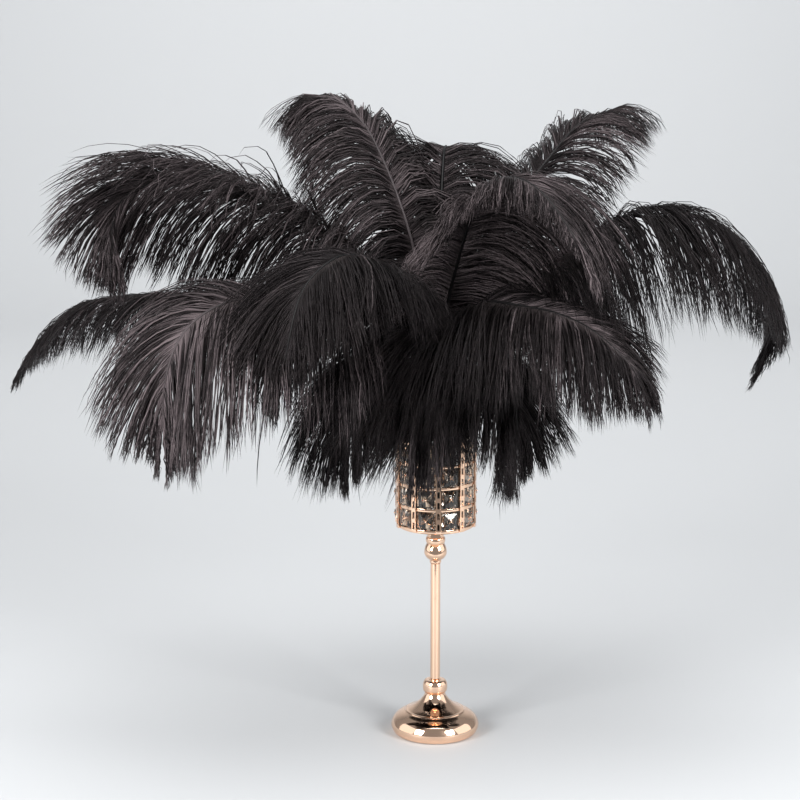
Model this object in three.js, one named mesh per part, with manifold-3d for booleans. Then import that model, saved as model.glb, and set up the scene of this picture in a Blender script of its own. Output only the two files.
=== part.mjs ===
// Sixteen dyed ostrich plumes standing in a slim gold stand with a crystal cup.
// Millimetres, +Z up. The origin is the centre of the foot's underside, on the table.
// The stand is turned and soldered metal: foot, tube, knop, cup floor, five rings and ten ladder
// posts. Ten threaded columns of four crystals fill the cup's wall. The plumes' quills stand on
// the cup floor inside it, and nothing but their own lean holds them there.
import * as THREE from "three";
import { mergeVertices } from "three/addons/utils/BufferGeometryUtils.js";
import Module from "manifold-3d";

// ---- Driving dimensions: the stand ----
const GAP = 0.3; // between touching pieces
const TURNED_SIDES = 24;
const FOOT_RADIUS = 45;
const FOOT_HEIGHT = 57;
const TUBE_RADIUS = 5;
const KNOP_BOTTOM = 180;
const KNOP_TOP = 219;
const FLOOR_RADIUS = 37.5;
const FLOOR_THICK = 2;

// ---- Driving dimensions: the cup ----
const CUP_TURN = 21; // degrees from +X to the first post
const COLUMNS = 10;
const ROWS = 4;
const ROW_PITCH = 22;
const CUP_BOTTOM = 222; // middle of the lowest ring
const RING_RADIUS = 38.7; // inside of each ring
const RING_THICK = 1.1;
const RING_HEIGHT = 3;
const RING_SIDES = 20; // two to a crystal
const POST_WIDTH = 5.4;
const POST_THICK = 1.4;
const WINDOW_WIDTH = 2.2;
const WINDOW_HEIGHT = 6.5;
const CRYSTAL_SIZE = 18.5;
const CRYSTAL_GIRDLE = 2;
const CRYSTAL_THICK = 8;
const CRYSTAL_RADIUS = 37.5; // from the cup's axis to the middle of a crystal
const WIRE_RADIUS = 0.6;

// ---- Driving dimensions: the plumes ----
const QUILL_FOOT = CUP_BOTTOM + 0.6; // just above the cup floor
const QUILL_RADIUS = 2.4;
const TIP_RADIUS = 0.8;
const VANE_STARTS = 0.36; // share of the shaft's length
const VANE_FULL = 0.48;
const BLADE_STARTS = 0.48; // the barbs below it are too short to be solid here
const VANE_THICK = 1;
const SHORTEST_BARB = 0.2; // at the vane's start, as a share of the longest
const BARB_STEPS = 2; // across each side of a vane
const BEND_STEPS = 4; // steps of bending for each of those
const VANE_STEPS = 5; // along a vane
const QUILL_STEPS = 4; // along a quill
const SQUARE_SHARE = 0.8; // half side of a square shaft as a share of its radius
const ROOT_ANGLE = 62; // degrees between barb and shaft low on the vane
const TIP_ANGLE = 10; // and at its tip
const CLEARANCE = 1.2; // left around a plume where its neighbour is parted by it
const SIMPLER = 0.15; // deviation allowed when a parted vane is simplified
const WELD = 0.3; // corners closer than this are joined
const RIM_HEIGHT = 312;
const OUTER = { foot: 23, rim: 28 }; // a low plume's distance from the cup's axis, foot and rim
const INNER = { foot: 15, rim: 17 }; // and a tall plume's

// Each plume arches in an upright plane through the cup's axis. turn is that plane's direction in
// degrees, anticlockwise from +X seen from above, and spot is where its quill stands in the cup.
// roll tips the vane about its own shaft and twist turns it further towards the tip. sweep carries
// the tip sideways. barb is the longest barb, droop how strongly its own weight turns it down, tip
// the share of its length at the plume's tip, and taper the share of the vane where that sets in.
// arch lists [reach, height] above the rim, to the tip.
const PLUMES = [
  { name: "plume_left_high", turn: 187, spot: 174, ring: OUTER, roll: 4, twist: 60, sweep: 0,
    barb: 130, droop: 1.7, tip: 0.3, taper: 0.68,
    arch: [[46, 450], [100, 510], [154, 543], [231, 568], [270, 571], [306, 554], [317, 528], [314, 496]] },
  { name: "plume_right_high", turn: 2, spot: 0, ring: OUTER, roll: -10, twist: 0, sweep: 0,
    barb: 175, droop: 2.6, tip: 0.22, taper: 0.42,
    arch: [[63, 419], [108, 474], [147, 508], [215, 541], [274, 523], [322, 478], [338, 437], [330, 394]] },
  { name: "plume_left_low", turn: 168, spot: 150, ring: OUTER, roll: 8, twist: 0, sweep: 0,
    barb: 100, droop: 2.1, tip: 0.3, taper: 0.6,
    arch: [[68, 396], [129, 433], [197, 445], [297, 446], [373, 431], [423, 388], [440, 364]] },
  { name: "plume_back_left_tall", turn: 137, spot: 136, ring: INNER, roll: -10, twist: 0, sweep: 20,
    barb: 102, droop: 1.4, tip: 0.62, taper: 0.6,
    arch: [[17, 440], [24, 480], [36, 521], [61, 576], [90, 620], [124, 643], [150, 646]] },
  { name: "plume_right_back_tall", turn: 35, spot: 30, ring: INNER, roll: 4, twist: 0, sweep: 0,
    barb: 92, droop: 1.5, tip: 0.62, taper: 0.6,
    arch: [[42, 445], [79, 513], [104, 546], [142, 584], [181, 616], [230, 630]] },
  { name: "plume_front_left", turn: 236, spot: 240, ring: OUTER, roll: -6, twist: 0, sweep: -10,
    barb: 135, droop: 1.7, tip: 0.45, taper: 0.6,
    arch: [[29, 423], [56, 471], [90, 494], [128, 507], [164, 510], [214, 486], [233, 443], [236, 423]] },
  { name: "plume_front_right", turn: 316, spot: 306, ring: OUTER, roll: 10, twist: 0, sweep: 0,
    barb: 115, droop: 2.1, tip: 0.5, taper: 0.6,
    arch: [[28, 395], [36, 435], [65, 454], [109, 456], [153, 454], [190, 446], [222, 431], [249, 413]] },
  { name: "plume_left_front", turn: 213, spot: 196, ring: OUTER, roll: 4, twist: -55, sweep: 0,
    barb: 160, droop: 1.7, tip: 0.4, taper: 0.5,
    arch: [[66, 405], [123, 448], [167, 463], [237, 467], [281, 443], [301, 400], [305, 353]] },
  { name: "plume_centre_tall", turn: 308, spot: 300, ring: INNER, roll: 10, twist: 0, sweep: 0,
    barb: 130, droop: 1.9, tip: 0.45, taper: 0.6,
    arch: [[16, 440], [29, 482], [55, 540], [78, 565], [104, 579], [133, 578], [165, 563], [201, 531]] },
  { name: "plume_back_tall", turn: 85, spot: 88, ring: INNER, roll: 0, twist: 0, sweep: 0,
    barb: 120, droop: 1.9, tip: 0.5, taper: 0.6,
    arch: [[28, 440], [60, 535], [110, 588], [170, 580], [220, 535], [242, 470]] },
  { name: "plume_back_left_low", turn: 122, spot: 120, ring: OUTER, roll: 0, twist: 0, sweep: 0,
    barb: 120, droop: 2.1, tip: 0.5, taper: 0.6,
    arch: [[65, 400], [135, 460], [215, 472], [290, 425], [318, 350]] },
  { name: "plume_back_right_low", turn: 58, spot: 48, ring: OUTER, roll: 0, twist: 0, sweep: 0,
    barb: 120, droop: 2.1, tip: 0.5, taper: 0.6,
    arch: [[60, 400], [130, 462], [200, 476], [262, 440], [290, 378]] },
  { name: "plume_back_low", turn: 92, spot: 84, ring: OUTER, roll: 0, twist: 0, sweep: 0,
    barb: 110, droop: 2.1, tip: 0.5, taper: 0.6,
    arch: [[58, 372], [115, 412], [185, 415], [245, 372], [268, 305]] },
  { name: "plume_left_mid", turn: 224, spot: 218, ring: OUTER, roll: 4, twist: 0, sweep: 0,
    barb: 125, droop: 2.0, tip: 0.5, taper: 0.6,
    arch: [[36, 372], [56, 396], [82, 400], [104, 385], [114, 358], [116, 330]] },
  { name: "plume_right_low", turn: 316, spot: 334, ring: OUTER, roll: 0, twist: 0, sweep: 0,
    barb: 105, droop: 2.0, tip: 0.5, taper: 0.6,
    arch: [[36, 366], [54, 388], [76, 392], [96, 378], [106, 352], [108, 325]] },
  { name: "plume_front_low", turn: 262, spot: 270, ring: OUTER, roll: 0, twist: 0, sweep: 0,
    barb: 85, droop: 2.2, tip: 0.5, taper: 0.6,
    arch: [[36, 345], [52, 368], [74, 374], [90, 358], [96, 335]] },
];

// ---- Finishes ----
const gold = new THREE.MeshStandardMaterial({ color: 0xe2a47c, roughness: 0.12, metalness: 1 });
const crystal = new THREE.MeshStandardMaterial({ color: 0xfff3e8, roughness: 0.03, metalness: 0 });
const feather = new THREE.MeshStandardMaterial({ color: 0x1a1617, roughness: 0.7, metalness: 0 });

const wasm = await Module();
wasm.setup();

const bouquet = new THREE.Group();
bouquet.name = "plume_bouquet";

function place(name, geometry, material, parent = bouquet) {
  const mesh = new THREE.Mesh(geometry, material);
  mesh.name = name;
  parent.add(mesh);
  return mesh;
}

// A solid of revolution about +Z from [radius, height] pairs.
function turned(profile, sides = TURNED_SIDES) {
  const points = profile.map(([radius, height]) => new THREE.Vector2(radius, height));
  return new THREE.LatheGeometry(points, sides).rotateX(Math.PI / 2);
}

// ---- The stand ----

function addFoot() {
  const profile = [
    [0, 0], [FOOT_RADIUS - 2, 0], [FOOT_RADIUS, 3], [44, 8], [39.5, 17.5], [30, 25.5], [20, 31.5],
    [12.5, 37], [10.3, 42], [12.2, 45.5], [12.6, 51], [11, FOOT_HEIGHT - 1], [9, FOOT_HEIGHT],
    [0, FOOT_HEIGHT],
  ];
  place("foot", turned(profile), gold);
}

function addTube() {
  const bottom = FOOT_HEIGHT + GAP;
  const top = KNOP_BOTTOM - GAP;
  const profile = [[0, bottom], [TUBE_RADIUS, bottom], [TUBE_RADIUS, top], [0, top]];
  place("stem_tube", turned(profile, 16), gold);
}

function addKnop() {
  const profile = [
    [0, KNOP_BOTTOM], [5.6, KNOP_BOTTOM], [6, 183], [9.5, 186], [11.5, 191.5], [10.8, 197],
    [9, 201], [9.8, 203.5], [9.8, 207], [8.6, 209], [8.6, KNOP_TOP - GAP], [0, KNOP_TOP - GAP],
  ];
  place("knop", turned(profile, 16), gold);
}

function addCupFloor() {
  const top = KNOP_TOP + FLOOR_THICK;
  const profile = [[0, KNOP_TOP], [FLOOR_RADIUS, KNOP_TOP], [FLOOR_RADIUS, top], [0, top]];
  place("cup_floor", turned(profile), gold);
}

// ---- The crystal cup ----

function addRings() {
  for (let row = 0; row <= ROWS; row++) {
    const middle = CUP_BOTTOM + row * ROW_PITCH;
    const low = middle - RING_HEIGHT / 2;
    const high = middle + RING_HEIGHT / 2;
    const outside = RING_RADIUS + RING_THICK;
    const profile = [
      [RING_RADIUS, low], [outside, low], [outside, high], [RING_RADIUS, high], [RING_RADIUS, low],
    ];
    place(`cup_ring_${row + 1}`, turned(profile, RING_SIDES), gold);
  }
}

// A flat ladder: a strip with a row of windows pierced through it.
function ladderGeometry() {
  const height = ROWS * ROW_PITCH + RING_HEIGHT;
  const strip = new THREE.Shape()
    .moveTo(-POST_WIDTH / 2, 0)
    .lineTo(POST_WIDTH / 2, 0)
    .lineTo(POST_WIDTH / 2, height)
    .lineTo(-POST_WIDTH / 2, height)
    .closePath();
  const windows = 2 * ROWS;
  const pitch = ROW_PITCH / 2;
  for (let i = 0; i < windows; i++) {
    const low = RING_HEIGHT / 2 + (i + 0.5) * pitch - WINDOW_HEIGHT / 2;
    const pierced = new THREE.Path()
      .moveTo(-WINDOW_WIDTH / 2, low)
      .lineTo(-WINDOW_WIDTH / 2, low + WINDOW_HEIGHT)
      .lineTo(WINDOW_WIDTH / 2, low + WINDOW_HEIGHT)
      .lineTo(WINDOW_WIDTH / 2, low)
      .closePath();
    strip.holes.push(pierced);
  }
  const flat = new THREE.ExtrudeGeometry(strip, { depth: POST_THICK, bevelEnabled: false });
  // Stands it up with its face looking along +X.
  return flat.rotateX(Math.PI / 2).rotateZ(Math.PI / 2);
}

function addPosts() {
  for (let i = 0; i < COLUMNS; i++) {
    const holder = new THREE.Group();
    holder.rotation.z = THREE.MathUtils.degToRad(CUP_TURN + (360 * i) / COLUMNS);
    bouquet.add(holder);
    const post = place(`cup_post_${i + 1}`, ladderGeometry(), gold, holder);
    post.position.set(RING_RADIUS + RING_THICK + GAP, 0, CUP_BOTTOM - RING_HEIGHT / 2);
  }
}

// A closed mesh as a solid that can be joined and cut.
function solidOf(geometry) {
  const bare = geometry.clone();
  bare.deleteAttribute("normal");
  bare.deleteAttribute("uv");
  const merged = mergeVertices(bare, 1e-3);
  return new wasm.Manifold(new wasm.Mesh({
    numProp: 3,
    vertProperties: new Float32Array(merged.attributes.position.array),
    triVerts: new Uint32Array(merged.index.array),
  }));
}

function geometryOf(solid) {
  const mesh = solid.getMesh();
  const geometry = new THREE.BufferGeometry();
  geometry.setAttribute("position", new THREE.BufferAttribute(new Float32Array(mesh.vertProperties), 3));
  geometry.setIndex(new THREE.BufferAttribute(new Uint32Array(mesh.triVerts), 1));
  return geometry;
}

// The same solid with corners closer than WELD joined, so that cuts leave no slivers.
function welded(solid) {
  const mesh = solid.getMesh();
  const corners = [];
  const kept = [];
  for (let i = 0; i < mesh.numVert; i++) {
    const corner = new THREE.Vector3().fromArray(mesh.vertProperties, i * mesh.numProp);
    let same = corners.findIndex((other) => other.distanceTo(corner) < WELD);
    if (same < 0) same = corners.push(corner) - 1;
    kept.push(same);
  }
  const triVerts = [];
  for (let i = 0; i < mesh.triVerts.length; i += 3) {
    const [a, b, c] = [0, 1, 2].map((k) => kept[mesh.triVerts[i + k]]);
    if (a !== b && b !== c && c !== a) triVerts.push(a, b, c);
  }
  return new wasm.Manifold(new wasm.Mesh({
    numProp: 3,
    vertProperties: new Float32Array(corners.flatMap((corner) => corner.toArray())),
    triVerts: new Uint32Array(triVerts),
  }));
}

// One crystal: a square girdle with a low four-sided point in front and behind, facing +X.
function crystalGeometry() {
  const corner = CRYSTAL_SIZE / Math.SQRT2;
  const points = [
    new THREE.Vector2(0, -CRYSTAL_THICK / 2),
    new THREE.Vector2(corner, -CRYSTAL_GIRDLE / 2),
    new THREE.Vector2(corner, CRYSTAL_GIRDLE / 2),
    new THREE.Vector2(0, CRYSTAL_THICK / 2),
  ];
  return new THREE.LatheGeometry(points, 4).rotateY(Math.PI / 4).rotateZ(-Math.PI / 2);
}

// Four crystals threaded on one upright wire.
function crystalColumn() {
  const low = RING_HEIGHT / 2;
  const high = ROWS * ROW_PITCH - RING_HEIGHT / 2;
  const wire = new THREE.CylinderGeometry(WIRE_RADIUS, WIRE_RADIUS, high - low, 4);
  let column = solidOf(wire.rotateX(Math.PI / 2).translate(0, 0, (low + high) / 2));
  for (let row = 0; row < ROWS; row++) {
    const one = crystalGeometry().translate(0, 0, (row + 0.5) * ROW_PITCH);
    column = column.add(solidOf(one));
  }
  return geometryOf(column);
}

function addCrystals() {
  for (let i = 0; i < COLUMNS; i++) {
    const holder = new THREE.Group();
    holder.rotation.z = THREE.MathUtils.degToRad(CUP_TURN + (360 * (i + 0.5)) / COLUMNS);
    bouquet.add(holder);
    const column = place(`crystal_column_${i + 1}`, crystalColumn(), crystal, holder);
    column.position.set(CRYSTAL_RADIUS, 0, CUP_BOTTOM);
  }
}

// ---- The plumes ----

const clamp01 = (x) => Math.min(1, Math.max(0, x));
const easeIn = (x) => clamp01(x) ** 2 * (3 - 2 * clamp01(x));
const mix = THREE.MathUtils.lerp;

// The shaft's curve, from the quill's foot on the cup floor to the tip, and how its vane is turned.
function shaftCurve({ turn, spot, ring, roll, twist, sweep, arch }) {
  const angle = THREE.MathUtils.degToRad(turn);
  const outward = new THREE.Vector3(Math.cos(angle), Math.sin(angle), 0);
  const sideways = new THREE.Vector3(-Math.sin(angle), Math.cos(angle), 0);
  const inCup = THREE.MathUtils.degToRad(spot);
  const points = [
    new THREE.Vector3(ring.foot * Math.cos(inCup), ring.foot * Math.sin(inCup), QUILL_FOOT),
    new THREE.Vector3(ring.rim * Math.cos(inCup), ring.rim * Math.sin(inCup), RIM_HEIGHT),
  ];
  arch.forEach(([reach, height], i) => {
    const swept = sweep * ((i + 1) / arch.length) ** 2;
    points.push(new THREE.Vector3(0, 0, height)
      .addScaledVector(outward, reach)
      .addScaledVector(sideways, swept));
  });
  return { curve: new THREE.CatmullRomCurve3(points), sideways, roll, twist };
}

// A barb's path: t is where it leaves the shaft, and side is -1 or 1. It starts at an angle to the
// shaft and its own weight turns it down.
function barbPath(plume, frame, t, side) {
  const vane = (t - VANE_STARTS) / (1 - VANE_STARTS);
  const angle = THREE.MathUtils.degToRad(mix(ROOT_ANGLE, TIP_ANGLE, clamp01(vane) ** 2.5));
  const start = frame.across.clone().multiplyScalar(side * Math.sin(angle))
    .addScaledVector(frame.along, Math.cos(angle));
  const grown = mix(SHORTEST_BARB, 1, easeIn((t - VANE_STARTS) / (VANE_FULL - VANE_STARTS)));
  const taper = mix(1, plume.tip, easeIn((vane - plume.taper) / (1 - plume.taper)));
  const step = (plume.barb * grown * taper) / (BARB_STEPS * BEND_STEPS);
  const position = frame.centre.clone();
  const path = [{ point: position.clone(), outOf: frame.upper }];
  for (let i = 0; i < BARB_STEPS * BEND_STEPS; i++) {
    const share = (i + 0.5) / (BARB_STEPS * BEND_STEPS);
    const ahead = start.clone().add(new THREE.Vector3(0, 0, -plume.droop * share)).normalize();
    position.addScaledVector(ahead, step);
    if ((i + 1) % BEND_STEPS > 0) continue;
    const outOf = new THREE.Vector3().crossVectors(frame.along, ahead).multiplyScalar(side).normalize();
    path.push({ point: position.clone(), ahead, outOf });
  }
  return path;
}

// The shaft's centre and its three directions at t: along it, across the vanes, and out of them.
function frameAt({ curve, sideways, roll, twist }, t) {
  const centre = curve.getPointAt(t);
  const along = curve.getTangentAt(t);
  const vane = clamp01((t - VANE_STARTS) / (1 - VANE_STARTS));
  const across = sideways.clone().addScaledVector(along, -sideways.dot(along)).normalize()
    .applyAxisAngle(along, THREE.MathUtils.degToRad(roll + twist * vane));
  const upper = new THREE.Vector3().crossVectors(along, across);
  return { centre, along, across, upper };
}

// A solid of convex cells. at(column, face, row) gives the corners of columns x rows of them, each
// with a lower and an upper face, and cells that cross where the sheet folds simply merge.
function cellular(columns, rows, at) {
  const cells = [];
  for (let row = 0; row < rows; row++) {
    for (let column = 0; column < columns; column++) {
      const corners = [];
      [column, column + 1].forEach((c) => [row, row + 1].forEach((r) => {
        corners.push(at(c, -1, r).toArray(), at(c, 1, r).toArray());
      }));
      cells.push(wasm.Manifold.hull(corners));
    }
  }
  return wasm.Manifold.union(cells);
}

const shaftRadius = (t) => mix(QUILL_RADIUS, TIP_RADIUS, clamp01((t - VANE_STARTS) / (1 - VANE_STARTS)));

// Where along the shaft its corners lie: a few down the quill, then one for each row of the vane.
const vaneStop = (row) => mix(BLADE_STARTS, 1, row / VANE_STEPS);
const quillStops = [...Array(QUILL_STEPS + 1).keys()].map((row) => (BLADE_STARTS * row) / QUILL_STEPS);
const shaftStops = [...quillStops, ...[...Array(VANE_STEPS).keys()].map((row) => vaneStop(row + 1))];

// A stretch of bare shaft, square in section. margin grows it all round.
function shaftSolid(plume, stops, margin) {
  const shaft = shaftCurve(plume);
  return cellular(1, stops.length - 1, (column, face, row) => {
    const t = stops[row];
    const frame = frameAt(shaft, t);
    const half = shaftRadius(t) * SQUARE_SHARE + margin;
    return frame.centre.clone()
      .addScaledVector(frame.across, (2 * column - 1) * half)
      .addScaledVector(frame.upper, face * half);
  });
}

// The two vanes on their shaft as one drooping blade that reaches the barbs' tips.
function vaneSolid(plume, margin) {
  const shaft = shaftCurve(plume);
  const rows = [];
  for (let row = 0; row <= VANE_STEPS; row++) {
    const t = vaneStop(row);
    const frame = frameAt(shaft, t);
    rows.push({ t, frame, left: barbPath(plume, frame, t, -1), right: barbPath(plume, frame, t, 1) });
  }
  return cellular(2 * BARB_STEPS + 1, VANE_STEPS, (column, face, row) => {
    const { t, frame, left, right } = rows[row];
    const side = column <= BARB_STEPS ? -1 : 1;
    const step = side < 0 ? BARB_STEPS - column : column - BARB_STEPS - 1;
    const path = side < 0 ? left : right;
    const { point, ahead, outOf } = path[step];
    const here = point.clone();
    if (step === 0) here.addScaledVector(frame.across, side * (shaftRadius(t) * SQUARE_SHARE + margin));
    if (step === BARB_STEPS) here.addScaledVector(ahead, margin);
    const half = (step === 0 ? shaftRadius(t) : VANE_THICK / 2) + margin;
    return here.addScaledVector(outOf, face * half);
  });
}

// The cup's wall with room all round it: barbs hang outside it and quills stand inside it.
function cupRoom() {
  const inside = CRYSTAL_RADIUS - CRYSTAL_THICK / 2 - CLEARANCE;
  const outside = (RING_RADIUS + RING_THICK + POST_THICK + CLEARANCE) / Math.cos(Math.PI / COLUMNS);
  const low = CUP_BOTTOM - RING_HEIGHT;
  const high = CUP_BOTTOM + ROWS * ROW_PITCH + RING_HEIGHT;
  const profile = [[inside, low], [outside, low], [outside, high], [inside, high], [inside, low]];
  return solidOf(turned(profile, COLUMNS));
}

// Plumes lie against each other: each is parted where an earlier vane or any other shaft passes
// through it. Its own shaft stays whole, in the channel that it cuts through every other vane.
function addPlumes() {
  const channels = PLUMES.map((plume) => shaftSolid(plume, shaftStops, CLEARANCE));
  const shafts = PLUMES.map((plume) => shaftSolid(plume, shaftStops, 0));
  const cup = cupRoom();
  const clearVanes = [];
  PLUMES.forEach((plume, i) => {
    const quill = shaftSolid(plume, [...quillStops, BLADE_STARTS + 0.02], 0);
    const others = channels.filter((channel, j) => j !== i);
    const cutters = clearVanes.map((vane) => vane.subtract(shafts[i]));
    let whole = vaneSolid(plume, 0).add(quill);
    [...cutters, ...others, cup].forEach((cutter) => {
      whole = whole.subtract(cutter);
    });
    const pieces = whole.simplify(SIMPLER).decompose();
    pieces.sort((one, other) => other.volume() - one.volume());
    place(plume.name, geometryOf(welded(pieces[0])), feather);
    clearVanes.push(vaneSolid(plume, CLEARANCE));
  });
}

addFoot();
addTube();
addKnop();
addCupFloor();
addRings();
addPosts();
addCrystals();
addPlumes();

export default bouquet;
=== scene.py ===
"""Looks for a bunch of dyed ostrich plumes standing in a rose-gold stand with a crystal cup.

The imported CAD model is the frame. The turned stand, the cup and its crystals are modelled anew with
fine edges, and each plume's thin CAD blade is replaced by its shaft and its loose barbs.
"""

import math

import bpy
import numpy as np
from bpy.props import FloatProperty, FloatVectorProperty, IntProperty, PointerProperty
from mathutils import Matrix, Vector


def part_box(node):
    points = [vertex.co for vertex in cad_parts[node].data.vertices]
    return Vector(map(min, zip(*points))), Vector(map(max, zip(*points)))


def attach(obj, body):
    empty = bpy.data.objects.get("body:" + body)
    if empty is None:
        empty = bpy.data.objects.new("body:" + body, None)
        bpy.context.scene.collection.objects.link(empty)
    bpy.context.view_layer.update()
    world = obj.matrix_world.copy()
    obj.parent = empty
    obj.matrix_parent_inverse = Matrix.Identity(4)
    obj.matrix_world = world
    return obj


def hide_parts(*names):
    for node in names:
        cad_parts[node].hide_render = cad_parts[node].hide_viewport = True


bl_info = {
    "name": "Ostrich plume bouquet",
    "version": (1, 0, 0),
    "blender": (4, 5, 0),
    "location": "View3D > Sidebar > Plumes",
    "description": "Builds a bunch of ostrich plumes in a gold stand with a crystal cup",
    "category": "Object",
}

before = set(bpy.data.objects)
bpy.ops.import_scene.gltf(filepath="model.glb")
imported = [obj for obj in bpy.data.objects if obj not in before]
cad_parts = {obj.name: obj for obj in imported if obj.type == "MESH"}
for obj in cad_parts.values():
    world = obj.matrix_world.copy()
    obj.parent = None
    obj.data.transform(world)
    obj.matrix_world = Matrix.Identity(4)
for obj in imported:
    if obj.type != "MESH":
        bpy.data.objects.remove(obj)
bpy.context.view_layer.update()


def nodes_named(start):
    """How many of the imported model's nodes have names that start so."""
    return sum(name.startswith(start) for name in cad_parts)


COLUMNS = nodes_named("crystal_column_")
RINGS = nodes_named("cup_ring_")
ROWS = RINGS - 1

FOOT_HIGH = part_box("foot")[1]
TUBE_LOW, TUBE_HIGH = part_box("stem_tube")
KNOP_LOW, KNOP_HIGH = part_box("knop")
FLOOR_LOW, FLOOR_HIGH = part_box("cup_floor")
POST_LOW, POST_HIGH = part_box("cup_post_1")
RING_LOW, RING_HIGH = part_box("cup_ring_1")
TOP_RING_LOW, TOP_RING_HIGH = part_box("cup_ring_5")
ROWS_START = (RING_LOW.z + RING_HIGH.z) / 2
ROW_HEIGHT = (TOP_RING_LOW.z - RING_LOW.z) / ROWS

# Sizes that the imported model's boxes don't show, because its posts stand turned.
CUP_TURN = math.radians(21)
CRYSTAL_TURN = CUP_TURN + math.pi / COLUMNS
POST_RADIUS = RING_HIGH.x + 0.0003
POST_WIDTH = 0.0054
POST_THICK = 0.0014
RING_WALL = 0.0011


# ---- What a user would change ----


class StandSettings(bpy.types.PropertyGroup):
    """Turned metal parts."""

    sides: IntProperty(name="Sides", description="Sides of a turned part", default=96, min=24)
    gold: FloatVectorProperty(
        name="Gold", description="Colour of the plating", subtype="COLOR", size=3,
        default=(0.90, 0.60, 0.43), min=0, max=1,
    )
    gold_roughness: FloatProperty(
        name="Gold roughness", description="Roughness of clean plating", default=0.07, min=0, max=1
    )


class CupSettings(bpy.types.PropertyGroup):
    """The crystal cup."""

    crystal_side: FloatProperty(
        name="Crystal side", description="Side of a square crystal", default=0.0185,
        unit="LENGTH", min=0.005,
    )
    crystal_depth: FloatProperty(
        name="Crystal depth", description="From one point of a crystal to the other",
        default=0.008, unit="LENGTH", min=0.002,
    )
    crystal_radius: FloatProperty(
        name="Crystal circle", description="Radius of the circle of the crystals' middles",
        default=0.0375, unit="LENGTH", min=0.01,
    )
    pin_length: FloatProperty(
        name="Pin length", description="Length of the crossed pins on a crystal's point",
        default=0.0064, unit="LENGTH", min=0.001,
    )
    window_width: FloatProperty(
        name="Window width", description="Width of a window in a ladder post", default=0.0022,
        unit="LENGTH", min=0.0005,
    )
    window_height: FloatProperty(
        name="Window height", description="Height of a window in a ladder post",
        default=0.0065, unit="LENGTH", min=0.001,
    )


class PlumeSettings(bpy.types.PropertyGroup):
    """The plumes."""

    barbs: IntProperty(
        name="Barbs", description="Barbs of seven steps on a full plume, both sides together",
        default=1480, min=50,
    )
    barb_step: FloatProperty(
        name="Barb step", description="Length of a straight step along a barb", default=0.019,
        unit="LENGTH", min=0.002,
    )
    barb_width: FloatProperty(
        name="Barb width", description="Width of a barb with its barbules, at its root",
        default=0.0014, unit="LENGTH", min=0.0001,
    )
    barb_depth: FloatProperty(
        name="Barb depth", description="Thickness of a barb, at its root", default=0.0005,
        unit="LENGTH", min=0.0001,
    )
    droop: FloatProperty(
        name="Droop", description="How strongly weight turns the barbs down, times each plume's own",
        default=1, min=0,
    )
    clumping: FloatProperty(
        name="Clumping", description="How far neighbouring barbs' tips are drawn together",
        default=0.5, min=0, max=1,
    )
    quill_radius: FloatProperty(
        name="Quill radius", description="Radius of a quill at its foot", default=0.0023,
        unit="LENGTH", min=0.0005,
    )
    dye: FloatVectorProperty(
        name="Dye", description="Darkest colour of the dyed barbs", subtype="COLOR", size=3,
        default=(0.0024, 0.0021, 0.0023), min=0, max=1,
    )
    # The palest colour: strands that are pale at random, and the colour reached by the plumes'
    # painted highlights and painted light.
    worn_dye_and_highlight: FloatVectorProperty(
        name="Worn dye and highlight", description="Palest colour of the dyed barbs", subtype="COLOR", size=3,
        default=(0.122, 0.099, 0.103), min=0, max=1,
    )
    seed: IntProperty(name="Seed", description="Seed of the barbs' disorder", default=7)


class StageSettings(bpy.types.PropertyGroup):
    """Camera, lights and floor."""

    lens: FloatProperty(name="Lens", description="Focal length in mm", default=99, min=10)
    look_down: FloatProperty(
        name="Look down", description="Angle of the camera below level",
        default=math.radians(11.5), subtype="ANGLE",
    )
    camera_place: FloatVectorProperty(
        name="Camera place", description="Where the camera stands", subtype="TRANSLATION", size=3,
        unit="LENGTH", default=(-0.036, -2.156, 0.787),
    )
    key_power: FloatProperty(name="Key power", description="Each soft box, in watts", default=76)
    panel_power: FloatProperty(name="Panel power", description="Each side panel, watts", default=18)
    top_power: FloatProperty(name="Top power", description="Overhead light, in watts", default=40)
    back_power: FloatProperty(name="Backdrop power", description="Light on the backdrop", default=52)
    room: FloatProperty(name="Room", description="Strength of the room's own light", default=0.32)
    floor: FloatVectorProperty(
        name="Floor", description="Colour of the floor and backdrop", subtype="COLOR", size=3,
        default=(0.50, 0.51, 0.52), min=0, max=1,
    )


# ---- The plumes' places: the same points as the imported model's, in metres ----

RIM_HEIGHT = 0.312
QUILL_FOOT = 0.2226
OUTER = (0.023, 0.028)  # a low plume's distance from the cup's axis, at its foot and at the rim
INNER = (0.015, 0.017)  # and a tall plume's
VANE_STARTS = 0.36  # share of the shaft's length
SHORTEST_BARB = 0.2  # at the vane's start, as a share of the longest
ROOT_ANGLE = math.radians(62)  # between barb and shaft low on the vane
TIP_ANGLE = math.radians(10)

# Disorder of the barbs: first a small clump's, then a single barb's own.
SMALL_CLUMP = (4, 9)  # barbs
LARGE_CLUMP = (14, 34)
ANGLE_NOISE = (math.radians(3.5), math.radians(2.5))
LIFT = math.radians(8)  # above the plane of the vane
LIFT_NOISE = (math.radians(7), math.radians(5))
LENGTH_NOISE = (0.06, 0.09)
WEIGHT_NOISE = (0.12, 0.08)
HOOK_NOISE = (0.26, 0.22)  # sideways pull on the tips
TONE_NOISE = (0.2, 0.4)
STRAY_SHARE = 0.012  # barbs that stand out of line
LOOSE_EXTRA = 1.4  # length and droop of a loose barb, times its neighbours'
WANDER = 0.0014  # metres at the tips, in slow waves
KINKS = 0.0011  # metres at the tips, at every step
SMALL_RISE, LARGE_RISE = 1.8, 2.2  # how late along a barb its clumps draw it in
FULL_STEPS, LEAST_STEPS = 7, 5  # straight steps of a barb
ROOT_PAINT_SHARE = 0.24  # of a barb's length, over which the painted highlight or darkening at its root fades
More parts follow.
